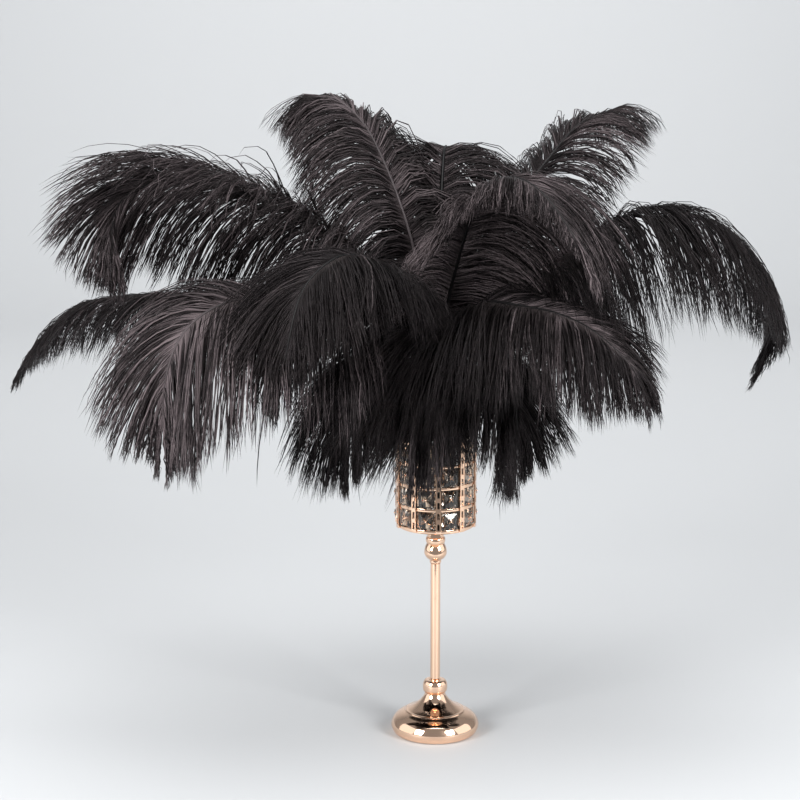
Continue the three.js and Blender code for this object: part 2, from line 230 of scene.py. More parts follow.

# Each plume arches in an upright plane through the cup's axis. turn is that plane's direction in
# degrees, anticlockwise from +X seen from above, and spot is where the quill stands in the cup, on
# the circles that ring gives. arch lists the shaft's points from the rim to the tip, each as its
# distance from the cup's axis and its height above the table. The others:
#   roll, twist  degrees that the vane is tipped about its shaft, all over and more towards its tip
#   sweep        how far the tip is carried sideways
#   barb         length of the longest barbs
#   full         share of the shaft's length at which the barbs reach their full length
#   tip, taper   share of that length left at the tip, and the share of the vane where it starts
#   sides        length, times the rest: (start, tip) of the clockwise side, then of the other side
#   splay        how far the barbs stand out from the shaft
#   droop        how strongly weight turns the barbs down, on both sides or on each
#   curl         how far the barbs near the tip are turned back towards the cup
#   bunch        how far large clumps are drawn together
#   loose        long single barbs on each side
#   share        number of barbs, as a share of a full plume's
#    pale         how pale the dye is at the vane's start and towards its tip: partly a plume's own
#                 dye, partly painted shade where the bunch hides a plume or its vane's start, and
#                 painted light on a vane that lies in the shade of others
#    roots, shaft how pale the barbs' roots are, times the rest of the barb, and the shaft: roots
#                 above 1 are a painted highlight where light catches them by the shaft, below 1 just
#                 darker; the shaft's low values are its dark horn, with a painted glossy highlight on
#                 back_left_tall and left_front and painted shade in front_left's dark valley
PLAIN_PLUME = dict(
    ring=OUTER, roll=0, twist=0, sweep=0, full=0.48, tip=0.5, taper=0.6, sides=(1, 1, 1, 1),
    splay=1, curl=0, bunch=0.16, loose=1, roots=1.3, shaft=0.15,
)
PLUMES = {
    "plume_left_high": dict(
        turn=187, spot=174, roll=4, twist=60, barb=0.13, tip=0.34, taper=0.68,
        sides=(1.1, 1.1, 0.8, 1.05), splay=0.85, droop=(2.3, 1.3), bunch=0.25, loose=0, share=1.4,
        pale=(0.8, 1.2), roots=0.8,
        arch=[
            (0.046, 0.450), (0.100, 0.510), (0.154, 0.543), (0.231, 0.568),
            (0.270, 0.571), (0.306, 0.554), (0.317, 0.528), (0.314, 0.496),
        ],
    ),
    "plume_right_high": dict(
        turn=2, spot=0, roll=-10, barb=0.175, tip=0.25, taper=0.42, sides=(1.45, 1, 1.45, 1),
        droop=2.6, curl=1.5, bunch=0.38, share=1.35, pale=(0.2, 0.45), roots=0.7,
        arch=[
            (0.063, 0.419), (0.108, 0.474), (0.147, 0.508), (0.215, 0.541),
            (0.274, 0.523), (0.322, 0.478), (0.338, 0.437), (0.330, 0.394),
        ],
    ),
    "plume_left_low": dict(
        turn=168, spot=150, roll=8, barb=0.100, tip=0.3, droop=2.1, share=0.85, pale=(0.3, 0.55),
        roots=0.8,
        arch=[
            (0.068, 0.396), (0.129, 0.433), (0.197, 0.445), (0.297, 0.446),
            (0.373, 0.431), (0.423, 0.388), (0.440, 0.364),
        ],
    ),
    "plume_back_left_tall": dict(
        turn=137, spot=136, ring=INNER, roll=-10, sweep=0.020, barb=0.105, tip=0.62,
        sides=(1.3, 1.3, 1.1, 1.05), droop=(3.0, 2.1), loose=0, share=1.3, pale=(0.7, 1.1),
        # Its roots and shaft values paint highlights on the barbs' roots and a glossy line along the
        # shaft.
        roots=1.5, shaft=1.0,
        arch=[
            (0.017, 0.440), (0.024, 0.480), (0.036, 0.521), (0.061, 0.576),
            (0.090, 0.620), (0.124, 0.643), (0.150, 0.646),
        ],
    ),
    "plume_right_back_tall": dict(
        turn=35, spot=30, ring=INNER, roll=4, barb=0.092, tip=0.62, sides=(0.75, 1.15, 0.85, 1.35),
        droop=(1.5, 1.9), loose=0, share=0.72, pale=(0.5, 0.95), roots=0.6,
        arch=[
            (0.042, 0.445), (0.079, 0.513), (0.104, 0.546),
            (0.142, 0.584), (0.181, 0.616), (0.230, 0.630),
        ],
    ),
    "plume_front_left": dict(
        turn=236, spot=240, roll=-6, sweep=-0.010, barb=0.15, tip=0.45, sides=(0.98, 1, 0.5, 0.75),
        # Its near-black shaft paints the shade in the valley along it.
        droop=2.15, share=1.25, pale=(0.25, 0.45), roots=0.8, shaft=0.02,
        arch=[
            (0.029, 0.423), (0.056, 0.471), (0.090, 0.494), (0.128, 0.507),
            (0.164, 0.510), (0.214, 0.486), (0.233, 0.443), (0.236, 0.423),
        ],
    ),
    "plume_front_right": dict(
        turn=316, spot=306, roll=10, barb=0.115, full=0.39, sides=(1.9, 1.1, 1.4, 1), droop=2.0,
        # Its high roots value paints the highlights along the crest.
        share=1.25, pale=(0.15, 0.75), roots=2.8,
        arch=[
            (0.028, 0.395), (0.036, 0.435), (0.065, 0.454), (0.109, 0.456),
            (0.153, 0.454), (0.190, 0.446), (0.222, 0.431), (0.249, 0.413),
        ],
    ),
    "plume_left_front": dict(
        turn=213, spot=196, roll=4, twist=-55, barb=0.160, tip=0.34, sides=(1.0, 0.95, 1.05, 1.0),
        # Its roots and shaft values paint highlights on the barbs' roots and a highlight line along
        # the shaft.
        droop=2.2, share=1.25, pale=(0.9, 1.5), roots=2.0, shaft=0.9,
        arch=[
            (0.066, 0.405), (0.123, 0.448), (0.167, 0.463), (0.237, 0.467),
            (0.281, 0.443), (0.301, 0.400), (0.305, 0.353),
        ],
    ),
    "plume_centre_tall": dict(
        turn=308, spot=300, ring=INNER, roll=-34, twist=44, barb=0.130, tip=0.45,
        # Its high pale at the vane's start paints light on the lower vane, which lies in the crest's
        # shade.
        sides=(1, 0.4, 1.1, 1.2), droop=2.3, share=1.2, pale=(12, 1.2), roots=0.8,
        arch=[
            (0.016, 0.440), (0.029, 0.482), (0.055, 0.540), (0.078, 0.565),
            (0.104, 0.579), (0.133, 0.578), (0.165, 0.563), (0.201, 0.531),
        ],
    ),
    "plume_back_tall": dict(
        turn=85, spot=88, ring=INNER, barb=0.11, droop=1.9, loose=0, share=0.7, pale=(0.5, 0.8),
        arch=[
            (0.028, 0.440), (0.060, 0.535), (0.110, 0.588),
            (0.170, 0.580), (0.220, 0.535), (0.242, 0.470),
        ],
    ),
    "plume_back_left_low": dict(
        turn=122, spot=120, barb=0.118, droop=2.1, share=0.8, pale=(0.3, 0.5),
        arch=[(0.065, 0.400), (0.135, 0.460), (0.215, 0.472), (0.290, 0.425), (0.318, 0.350)],
    ),
    "plume_back_right_low": dict(
        turn=58, spot=48, barb=0.14, droop=2.1, share=0.8, pale=(0.3, 0.4),
        arch=[(0.060, 0.400), (0.130, 0.462), (0.200, 0.476), (0.262, 0.440), (0.290, 0.378)],
    ),
    "plume_back_low": dict(
        turn=92, spot=84, barb=0.1, droop=2.1, share=0.5, pale=(0.3, 0.4),
        arch=[(0.058, 0.372), (0.115, 0.412), (0.185, 0.415), (0.245, 0.372), (0.268, 0.305)],
    ),
    "plume_left_mid": dict(
        turn=224, spot=218, roll=4, barb=0.128, sides=(1.25, 1.1, 0.9, 0.85), droop=2.6, loose=4,
        share=1.15, pale=(0.25, 0.4),
        arch=[
            (0.036, 0.372), (0.056, 0.396), (0.082, 0.400),
            (0.104, 0.385), (0.114, 0.358), (0.116, 0.330),
        ],
    ),
    "plume_right_low": dict(
        turn=316, spot=334, barb=0.13, sides=(1.3, 1.0, 0.8, 0.8), droop=2.0, share=1.15,
        pale=(0.3, 0.3),
        arch=[
            (0.036, 0.366), (0.054, 0.388), (0.076, 0.392),
            (0.096, 0.378), (0.106, 0.352), (0.108, 0.325),
        ],
    ),
    "plume_front_low": dict(
        turn=262, spot=270, barb=0.125, splay=0.22, droop=3.0, loose=3, share=0.3, pale=(0.5, 0.7),
        arch=[(0.036, 0.345), (0.052, 0.368), (0.074, 0.374), (0.090, 0.358), (0.096, 0.335)],
    ),
}


# ---- Materials ----


def set_inputs(node, inputs):
    """Gives a node's inputs their values. In their names, _ stands for a space."""
    for name, value in inputs.items():
        node.inputs[name.replace("_", " ")].default_value = value


def add_node(tree, kind, **inputs):
    node = tree.nodes.new("ShaderNode" + kind)
    set_inputs(node, inputs)
    return node


def add_noise(tree, vector=None, **inputs):
    """Noise on the object's own coordinates, or on another vector."""
    noise = add_node(tree, "TexNoise", **inputs)
    if vector is None:
        vector = add_node(tree, "TexCoord").outputs["Object"]
    tree.links.new(vector, noise.inputs["Vector"])
    return noise


def add_mix(tree, factor, **colours):
    """Colours A and B, mixed by an output."""
    mix = add_node(tree, "Mix")
    mix.data_type = "RGBA"
    set_inputs(mix, colours)
    tree.links.new(factor, mix.inputs["Factor"])
    return mix


def add_product(tree, first, second):
    """An output times a number or another output."""
    product = add_node(tree, "Math")
    product.operation = "MULTIPLY"
    tree.links.new(first, product.inputs[0])
    if isinstance(second, (int, float)):
        product.inputs[1].default_value = second
    else:
        tree.links.new(second, product.inputs[1])
    return product.outputs["Value"]


def add_relief(tree, shader, noise, strength, distance):
    """Bumps on a material's surface, as high as a noise."""
    bump = add_node(tree, "Bump", Strength=strength, Distance=distance)
    tree.links.new(noise.outputs["Fac"], bump.inputs["Height"])
    tree.links.new(bump.outputs["Normal"], shader.inputs["Normal"])


def new_material(name, **inputs):
    """A Principled material with these values: (material, its node tree, its shader)."""
    material = bpy.data.materials.new(name)
    material.use_nodes = True
    shader = material.node_tree.nodes["Principled BSDF"]
    set_inputs(shader, inputs)
    return material, material.node_tree, shader


def new_group(name, inputs, output, output_kind):
    """A node group of numbers and colours: (the group, what it's given, where its output goes)."""
    group = bpy.data.node_groups.new(name, "ShaderNodeTree")
    for socket, value in inputs.items():
        kind = "NodeSocketColor" if isinstance(value, tuple) else "NodeSocketFloat"
        made = group.interface.new_socket(socket, in_out="INPUT", socket_type=kind)
        made.default_value = value
    group.interface.new_socket(output, in_out="OUTPUT", socket_type=output_kind)
    given = group.nodes.new("NodeGroupInput").outputs
    return group, given, group.nodes.new("NodeGroupOutput").inputs[output]


def place_group(tree, group, **inputs):
    """A group in a material, with the material's own values."""
    placed = add_node(tree, "Group")
    placed.node_tree = group
    set_inputs(placed, inputs)
    return placed


def smudge_group():
    """Shared by metal and crystal: fingerprints and faint wiping marks, as a roughness."""
    if "Smudges" in bpy.data.node_groups:
        return bpy.data.node_groups["Smudges"]
    inputs = {"Clean": 0.05, "Smudged": 0.2, "Marks per metre": 90.0}
    group, given, result = new_group("Smudges", inputs, "Roughness", "NodeSocketFloat")
    blotches = add_noise(group, Detail=5, Roughness=0.62)
    marks = add_node(group, "MapRange", From_Min=0.46, From_Max=0.74)
    group.links.new(given["Marks per metre"], blotches.inputs["Scale"])
    group.links.new(blotches.outputs["Fac"], marks.inputs["Value"])
    group.links.new(given["Clean"], marks.inputs["To Min"])
    group.links.new(given["Smudged"], marks.inputs["To Max"])
    group.links.new(marks.outputs["Result"], result)
    return group


def use_smudges(tree, shader, clean, smudged, marks):
    """Lets the smudge group set a material's roughness."""
    smudges = place_group(
        tree, smudge_group(), Clean=clean, Smudged=smudged, Marks_per_metre=marks
    )
    tree.links.new(smudges.outputs["Roughness"], shader.inputs["Roughness"])


def gold_material():
    """Mirror-polished rose-gold plating with faint wiping marks and uneven plating colour."""
    if "Rose gold" in bpy.data.materials:
        return bpy.data.materials["Rose gold"]
    stand = bpy.context.scene.stand
    material, tree, shader = new_material("Rose gold", Metallic=1)
    use_smudges(tree, shader, clean=stand.gold_roughness, smudged=0.17, marks=85)
    red, green, blue = stand.gold
    warmer = (min(1, red * 1.04), green * 1.1, blue * 1.12, 1)
    clouds = add_noise(tree, Scale=30, Detail=3)
    tint = add_mix(tree, clouds.outputs["Fac"], A=(red, green, blue, 1), B=warmer)
    tree.links.new(tint.outputs["Result"], shader.inputs["Base Color"])
    scratches = add_noise(tree, Scale=900, Detail=2)
    add_relief(tree, shader, scratches, strength=0.03, distance=0.0002)
    return material


def crystal_material():
    """Clear pressed crystal with a faint rose tint in its colour, a painted reflection of the metal
    round it.
    """
    if "Clear crystal" in bpy.data.materials:
        return bpy.data.materials["Clear crystal"]
    # The warm colour is a painted reflection of the gold round the crystal.
    material, tree, shader = new_material(
        "Clear crystal", Base_Color=(0.98, 0.84, 0.71, 1), Transmission_Weight=1, IOR=1.6
    )
    use_smudges(tree, shader, clean=0.0, smudged=0.06, marks=160)
    return material


def dye_group():
    """Shared by barbs and shafts: dye that is uneven by patch, by barb and by tuft, as a colour. The
    Strand tone that it is given also carries painted light and shade.
    """
    if "Uneven dye" in bpy.data.node_groups:
        return bpy.data.node_groups["Uneven dye"]
    inputs = {"Dark": (0, 0, 0, 1), "Pale": (1, 1, 1, 1), "Strand": 0.5, "Along": 0.0}
    group, given, result = new_group("Uneven dye", inputs, "Color", "NodeSocketColor")
    patches = add_noise(group, Scale=14, Detail=3)
    patched = add_product(group, patches.outputs["Fac"], given["Strand"])
    stretched = add_node(group, "CombineXYZ")
    tufts_per_barb, tufts_across = 38, 260
    group.links.new(add_product(group, given["Along"], tufts_per_barb), stretched.inputs["X"])
    group.links.new(add_product(group, given["Strand"], tufts_across), stretched.inputs["Y"])
    tufts = add_noise(group, stretched.outputs["Vector"], Scale=1, Detail=2)
    uneven = add_product(group, patched, tufts.outputs["Fac"])
    spread = add_node(group, "MapRange", From_Min=0.09, From_Max=0.44)
    group.links.new(uneven, spread.inputs["Value"])
    colour = add_mix(group, spread.outputs["Result"])
    group.links.new(given["Dark"], colour.inputs["A"])
    group.links.new(given["Pale"], colour.inputs["B"])
    group.links.new(colour.outputs["Result"], result)
    return group


def use_dye(tree, shader):
    """Lets the dye group colour a material. The piece's UV map says where along which barb."""
    plumes = bpy.context.scene.plumes
    dye = place_group(tree, dye_group(), Dark=(*plumes.dye, 1), Pale=(*plumes.worn_dye_and_highlight, 1))
    strand = add_node(tree, "UVMap")
    strand.uv_map = "Strand"
    parts = add_node(tree, "SeparateXYZ")
    tree.links.new(strand.outputs["UV"], parts.inputs["Vector"])
    # The UV map's Y is each strand's tone: its random dye with the plume's painted light and shade.
    tree.links.new(parts.outputs["Y"], dye.inputs["Strand"])
    tree.links.new(parts.outputs["X"], dye.inputs["Along"])
    tree.links.new(dye.outputs["Color"], shader.inputs["Base Color"])


def barb_material():
    """Black-brown barbs with the soft sheen that their barbules give."""
    if "Barbs" in bpy.data.materials:
        return bpy.data.materials["Barbs"]
    material, tree, shader = new_material(
        "Barbs", Roughness=0.38, Specular_IOR_Level=0.2, Specular_Tint=(1.0, 0.86, 0.89, 1),
        Sheen_Weight=0.04, Sheen_Roughness=0.4, Sheen_Tint=(1.0, 0.84, 0.82, 1),
    )
    use_dye(tree, shader)
    barbules = add_noise(tree, Scale=1500, Detail=2)
    add_relief(tree, shader, barbules, strength=0.6, distance=0.0006)
    return material


def shaft_material():
    """Dyed horn: smooth and slightly glossy."""
    if "Shafts" in bpy.data.materials:
        return bpy.data.materials["Shafts"]
    material, tree, shader = new_material("Shafts", Roughness=0.45, Specular_IOR_Level=0.25)
    use_dye(tree, shader)
    return material


def floor_material():
    """Plain pale paper."""
    colour = (*bpy.context.scene.stage.floor, 1)
    return new_material("Pale floor", Base_Color=colour, Roughness=0.6)[0]


# ---- Modelling helpers ----


def start_fresh():
    """Leaves edit mode and selects nothing, so that the next operator acts on its own piece."""
    if bpy.context.mode != "OBJECT":
        bpy.ops.object.mode_set(mode="OBJECT")
    bpy.ops.object.select_all(action="DESELECT")


def select_only(*pieces):
    """Selects these pieces and nothing else. The first one is active."""
    start_fresh()
    for piece in pieces:
        piece.select_set(True)
    bpy.context.view_layer.objects.active = pieces[0]


def select_faces(piece, chosen):
    """Enters edit mode with those faces selected that pass a test."""
    bpy.ops.object.mode_set(mode="EDIT")
    bpy.ops.mesh.select_mode(type="FACE")
    bpy.ops.mesh.select_all(action="DESELECT")
    bpy.ops.object.mode_set(mode="OBJECT")
    for face in piece.data.polygons:
        face.select = chosen(face)
    bpy.ops.object.mode_set(mode="EDIT")


def ease_edges(piece, width, segments, sharper_than=30):
    """A bevel on the edges that turn by more than an angle in degrees."""
    bevel = piece.modifiers.new("Ease", "BEVEL")
    bevel.width = width
    bevel.segments = segments
    bevel.limit_method = "ANGLE"
    bevel.angle_limit = math.radians(sharper_than)


def give_wall(piece, thickness, offset):
    """A wall from a single sheet: offset is 1 for all of it outside the sheet, -1 for inside."""
    wall = piece.modifiers.new("Wall", "SOLIDIFY")
    wall.thickness = thickness
    wall.offset = offset


def apply_modifiers(piece):
    bpy.context.view_layer.objects.active = piece
    for modifier in list(piece.modifiers):
        bpy.ops.object.modifier_apply(modifier=modifier.name)


def joined(pieces):
    """Pieces made one, under the first one's name."""
    select_only(*pieces)
    bpy.ops.object.join()
    return pieces[0]


def finish_piece(piece, material, smooth=30):
    """Merges doubles, turns the faces outwards, puts the place in the mesh and smooths it."""
    select_only(piece)
    bpy.ops.object.transform_apply(location=True, rotation=True, scale=True)
    bpy.ops.object.mode_set(mode="EDIT")
    bpy.ops.mesh.select_all(action="SELECT")
    bpy.ops.mesh.remove_doubles(threshold=1e-6)
    bpy.ops.mesh.normals_make_consistent(inside=False)
    bpy.ops.object.mode_set(mode="OBJECT")
    bpy.ops.object.shade_smooth_by_angle(angle=math.radians(smooth))
    piece.data.materials.clear()
    piece.data.materials.append(material)
    return piece


def stand_for(piece, slot, *nodes):
    """The piece rides on the one body and stands for those CAD nodes, which are hidden; slot is not
    used.
    """
    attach(piece, "root")
    if nodes:
        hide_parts(*nodes)


def eased(profile, steps):
    """A turned profile with a smooth curve through it. A point given twice stays a sharp corner."""
    points = np.array(profile, float)
    out = [points[0]]
    for i in range(len(points) - 1):
        start, end = points[i], points[i + 1]
        if np.allclose(start, end):
            continue
        before = points[i - 1] if i > 0 else start
        after = points[i + 2] if i + 2 < len(points) else end
        pull_start, pull_end = (end - before) / 2, (after - start) / 2
        for k in range(1, steps + 1):
            u = k / steps
            out.append(
                start * (2 * u**3 - 3 * u**2 + 1) + pull_start * (u**3 - 2 * u**2 + u)
                + end * (3 * u**2 - 2 * u**3) + pull_end * (u**3 - u**2)
            )
    return [(float(radius), float(height)) for radius, height in out]


def turned(name, profile):
    """A disc extruded upwards along a profile of (radius, height) and scaled to each radius."""
    start_fresh()
    radius, height = profile[0]
    bpy.ops.mesh.primitive_circle_add(
        vertices=bpy.context.scene.stand.sides, radius=radius, fill_type="NGON",
        location=(0, 0, height),
    )
    piece = bpy.context.object
    piece.name = name
    bpy.ops.object.mode_set(mode="EDIT")
    bpy.ops.mesh.select_all(action="SELECT")
    for radius_now, height_now in profile[1:]:
        bpy.ops.mesh.extrude_region_move(
            TRANSFORM_OT_translate={"value": (0, 0, height_now - height)}
        )
        scale = radius_now / radius
        bpy.ops.transform.resize(value=(scale, scale, 1), center_override=(0, 0, height_now))
        radius, height = radius_now, height_now
    bpy.ops.object.mode_set(mode="OBJECT")
    return piece


def turned_gold(name, profile, node, smooth=30):
    """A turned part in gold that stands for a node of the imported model."""
    stand_for(finish_piece(turned(name, profile), gold_material(), smooth), "rose_gold", node)


def copy_of(piece):
    """A copy of a piece with its own mesh."""
    copy = piece.copy()
    copy.data = piece.data.copy()
    bpy.context.scene.collection.objects.link(copy)
    return copy


def turned_copies(piece, first_angle, name):
    """A finished piece and its copies, one for each column of the cup, turned about its axis."""
    made = [copy_of(piece) for _ in range(COLUMNS - 1)] + [piece]
    for i, copy in enumerate(made):
        copy.name = f"{name}_{i + 1}"
        angle = first_angle + 2 * math.pi * i / COLUMNS
        copy.data.transform(Matrix.Rotation(angle, 4, "Z"))
    return made


# ---- The stand ----


class PLUMES_OT_foot(bpy.types.Operator):
    """Add the weighted foot with its domed skirt, waist and collar"""

    bl_idname = "plumes.foot"
    bl_label = "Foot"

    def execute(self, context):
        rim, top = FOOT_HIGH.x, FOOT_HIGH.z
        dome = [
            (rim - 0.0060, 0.0), (rim - 0.0060, 0.0), (rim - 0.0044, 0.0005), (rim - 0.0020, 0.0026),
            (rim, 0.0080), (rim - 0.0008, 0.0122), (rim - 0.0038, 0.0172), (rim - 0.0088, 0.0210),
            (0.0306, 0.0236), (0.0306, 0.0236), (0.0297, 0.0247), (0.0285, 0.0249),
            (0.0285, 0.0249), (0.0220, 0.0285), (0.0158, 0.0334), (0.0116, 0.0388),
            (0.0103, 0.0424), (0.0103, 0.0424), (0.0112, 0.0434), (0.0123, 0.0452),
            (0.0126, 0.0490), (0.0122, 0.0526), (0.0106, 0.0555), (0.0084, 0.0562),
            (0.0062, 0.0564), (0.0062, 0.0564), (0.0060, top - 0.0002), (0.0050, top),
        ]
        turned_gold("weighted_foot", eased(dome, 4), "foot", smooth=40)
        return {"FINISHED"}


class PLUMES_OT_stem(bpy.types.Operator):
    """Add the plain tube between foot and knop"""

    bl_idname = "plumes.stem"
    bl_label = "Stem"

    def execute(self, context):
        radius, low, high = TUBE_HIGH.x, TUBE_LOW.z, TUBE_HIGH.z
        edge = 0.0004
        profile = [
            (radius - edge, low), (radius, low + edge), (radius, high - edge), (radius - edge, high),
        ]
        turned_gold("stem", profile, "stem_tube")
        return {"FINISHED"}


class PLUMES_OT_knop(bpy.types.Operator):
    """Add the knop: collar, bulb, bead and the flare under the cup"""

    bl_idname = "plumes.knop"
    bl_label = "Knop"

    def execute(self, context):
        low, high = KNOP_LOW.z, KNOP_HIGH.z
        swell = [
            (0.0050, low), (0.0050, low), (0.0058, low + 0.0006), (0.0058, low + 0.0030),
            (0.0058, low + 0.0030), (0.0066, low + 0.0036), (0.0094, low + 0.0060),
            (0.0112, low + 0.0092), (0.0115, low + 0.0122), (0.0106, low + 0.0168),
            (0.0088, low + 0.0206), (0.0088, low + 0.0206), (0.0096, low + 0.0220),
            (0.0100, low + 0.0244), (0.0096, low + 0.0266), (0.0086, low + 0.0276),
            (0.0086, low + 0.0276), (0.0082, low + 0.0320), (0.0086, high - 0.0020),
            (0.0092, high - 0.0004), (0.0090, high),
        ]
        turned_gold("bulb_knop", eased(swell, 4), "knop", smooth=40)
        return {"FINISHED"}


# ---- The crystal cup ----


class PLUMES_OT_cup_floor(bpy.types.Operator):
    """Add the cup's floor with its rolled edge"""

    bl_idname = "plumes.cup_floor"
    bl_label = "Cup floor"

    def execute(self, context):
        radius, low, high = FLOOR_HIGH.x, FLOOR_LOW.z, FLOOR_HIGH.z
        roll = 0.0005
        profile = [
            (0.012, low), (radius - roll, low), (radius, low + roll), (radius, high - roll),
            (radius - roll, high), (radius - 0.002, high), (radius - 0.0024, high - roll),
            (0.002, high - roll),
        ]
        turned_gold("cup_disc", profile, "cup_floor")
        return {"FINISHED"}


class PLUMES_OT_rings(bpy.types.Operator):
    """Add the flat bands round the cup, with eased edges"""

    bl_idname = "plumes.rings"
    bl_label = "Rings"

    def execute(self, context):
        for i in range(RINGS):
            low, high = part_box(f"cup_ring_{i + 1}")
            start_fresh()
            bpy.ops.mesh.primitive_cylinder_add(
                vertices=context.scene.stand.sides, radius=high.x, depth=high.z - low.z,
                end_fill_type="NOTHING", location=(0, 0, (low.z + high.z) / 2),
            )
            band = context.object
            band.name = f"band_{i + 1}"
            give_wall(band, RING_WALL, -1)
            ease_edges(band, width=0.0003, segments=2)
            apply_modifiers(band)
            stand_for(finish_piece(band, gold_material()), "rose_gold", f"cup_ring_{i + 1}")
        return {"FINISHED"}


class PLUMES_OT_posts(bpy.types.Operator):
    """Add the ladder posts: strips with a row of windows pierced through them"""

    bl_idname = "plumes.posts"
    bl_label = "Ladder posts"

    def execute(self, context):
        cup = context.scene.cup
        start_fresh()
        bpy.ops.mesh.primitive_plane_add(
            size=1, location=(POST_RADIUS, 0, (POST_LOW.z + POST_HIGH.z) / 2),
            rotation=(0, math.pi / 2, 0),
        )
        post = context.object
        post.scale = (POST_HIGH.z - POST_LOW.z, POST_WIDTH, 1)
        bpy.ops.object.transform_apply(location=True, rotation=True, scale=True)
        pitch = ROW_HEIGHT / 2
        windows = [ROWS_START + pitch / 2 + i * pitch for i in range(2 * ROWS)]
        half_width, half_height = cup.window_width / 2, cup.window_height / 2
        cuts = [((0, side * half_width, 0), (0, 1, 0)) for side in (-1, 1)]
        cuts += [
            ((0, 0, window + side * half_height), (0, 0, 1))
            for window in windows for side in (-1, 1)
        ]
        bpy.ops.object.mode_set(mode="EDIT")
        for place, normal in cuts:
            bpy.ops.mesh.select_all(action="SELECT")
            bpy.ops.mesh.bisect(plane_co=place, plane_no=normal)
        bpy.ops.object.mode_set(mode="OBJECT")

        def in_window(face):
            _, y, z = face.center
            return abs(y) < half_width and min(abs(z - window) for window in windows) < half_height

        select_faces(post, in_window)
        bpy.ops.mesh.delete(type="FACE")
        bpy.ops.object.mode_set(mode="OBJECT")
        give_wall(post, POST_THICK, 1 if post.data.polygons[0].normal.x > 0 else -1)
        ease_edges(post, width=0.0002, segments=2)
        apply_modifiers(post)
        finish_piece(post, gold_material())
        for i, copy in enumerate(turned_copies(post, CUP_TURN, "ladder")):
            stand_for(copy, "rose_gold", f"cup_post_{i + 1}")
        return {"FINISHED"}


def one_crystal(cup):
    """A square crystal facing +X: girdle, eased shoulder and a low four-sided point, twice."""
    start_fresh()
    bpy.ops.mesh.primitive_cube_add(size=1)
    crystal = bpy.context.object
    girdle = cup.crystal_depth / 4
    crystal.scale = (girdle, cup.crystal_side, cup.crystal_side)
    bpy.ops.object.transform_apply(location=False, rotation=False, scale=True)
    shoulder_width, shoulder_depth = 0.0011, 0.0010
    for side in (-1, 1):
        select_faces(crystal, lambda face: face.normal.x * side > 0.9)
        bpy.ops.mesh.inset(thickness=shoulder_width, depth=shoulder_depth)
        bpy.ops.mesh.poke(offset=cup.crystal_depth / 2 - girdle / 2 - shoulder_depth)
        bpy.ops.object.mode_set(mode="OBJECT")
    ease_edges(crystal, width=0.0011, segments=1, sharper_than=20)
    apply_modifiers(crystal)
    return crystal


class PLUMES_OT_crystals(bpy.types.Operator):
    """Add the columns of cross-cut crystals"""

    bl_idname = "plumes.crystals"
    bl_label = "Crystals"

    def execute(self, context):
        cup = context.scene.cup
        first = one_crystal(cup)
        column = [copy_of(first) for _ in range(ROWS - 1)] + [first]
        for row, crystal in enumerate(column):
            crystal.location = (cup.crystal_radius, 0, ROWS_START + (row + 0.5) * ROW_HEIGHT)
        piece = finish_piece(joined(column), crystal_material(), 1)
        for i, copy in enumerate(turned_copies(piece, CRYSTAL_TURN, "crystals")):
            stand_for(copy, "crystal", f"crystal_column_{i + 1}")
        return {"FINISHED"}


class PLUMES_OT_pins(bpy.types.Operator):
    """Add the crossed pins on the crystals' points and the wires between them"""

    bl_idname = "plumes.pins"
    bl_label = "Pins and wires"

    def execute(self, context):
        cup = context.scene.cup
        apex = cup.crystal_radius + cup.crystal_depth / 2
        sunk, bar_depth, bar_width, dot_radius, wire_radius = 0.0003, 0.0007, 0.0011, 0.0009, 0.0006
        made = []
        for row in range(ROWS):
            height = ROWS_START + (row + 0.5) * ROW_HEIGHT
            for turn in (math.pi / 4, -math.pi / 4):
                start_fresh()
                bpy.ops.mesh.primitive_cube_add(
                    size=1, location=(apex - sunk, 0, height), rotation=(turn, 0, 0)
                )
                made.append(context.object)
                made[-1].scale = (bar_depth, bar_width, cup.pin_length)
            start_fresh()
            bpy.ops.mesh.primitive_uv_sphere_add(
                segments=12, ring_count=8, radius=dot_radius, location=(apex, 0, height)
            )
            made.append(context.object)
        gap = ROW_HEIGHT - cup.crystal_side
        wire_share = 0.96  # of the gap, so that a wire stops short of the crystals
        for row in range(ROWS + 1):
            # The end wires reach only from the first or last crystal to the middle of its ring.
            share, shift = {0: (0.5, gap / 4), ROWS: (0.5, -gap / 4)}.get(row, (1, 0))
            start_fresh()
            bpy.ops.mesh.primitive_cylinder_add(
                vertices=12, radius=wire_radius, depth=gap * share * wire_share,
                location=(cup.crystal_radius, 0, ROWS_START + row * ROW_HEIGHT + shift),
            )
            made.append(context.object)
        piece = finish_piece(joined(made), gold_material())
        for copy in turned_copies(piece, CRYSTAL_TURN, "pins"):
            stand_for(copy, "rose_gold")
        return {"FINISHED"}


# ---- The plumes ----


def ease(x):
    """Runs smoothly from 0 to 1 while x does."""
    x = np.clip(x, 0, 1)
    return x * x * (3 - 2 * x)


def unit(v):
    return v / np.linalg.norm(v, axis=-1, keepdims=True)


def up_the_vane(t):
    """A share of the shaft's length as a share of the vane's. It is negative below the vane."""
    return (t - VANE_STARTS) / (1 - VANE_STARTS)


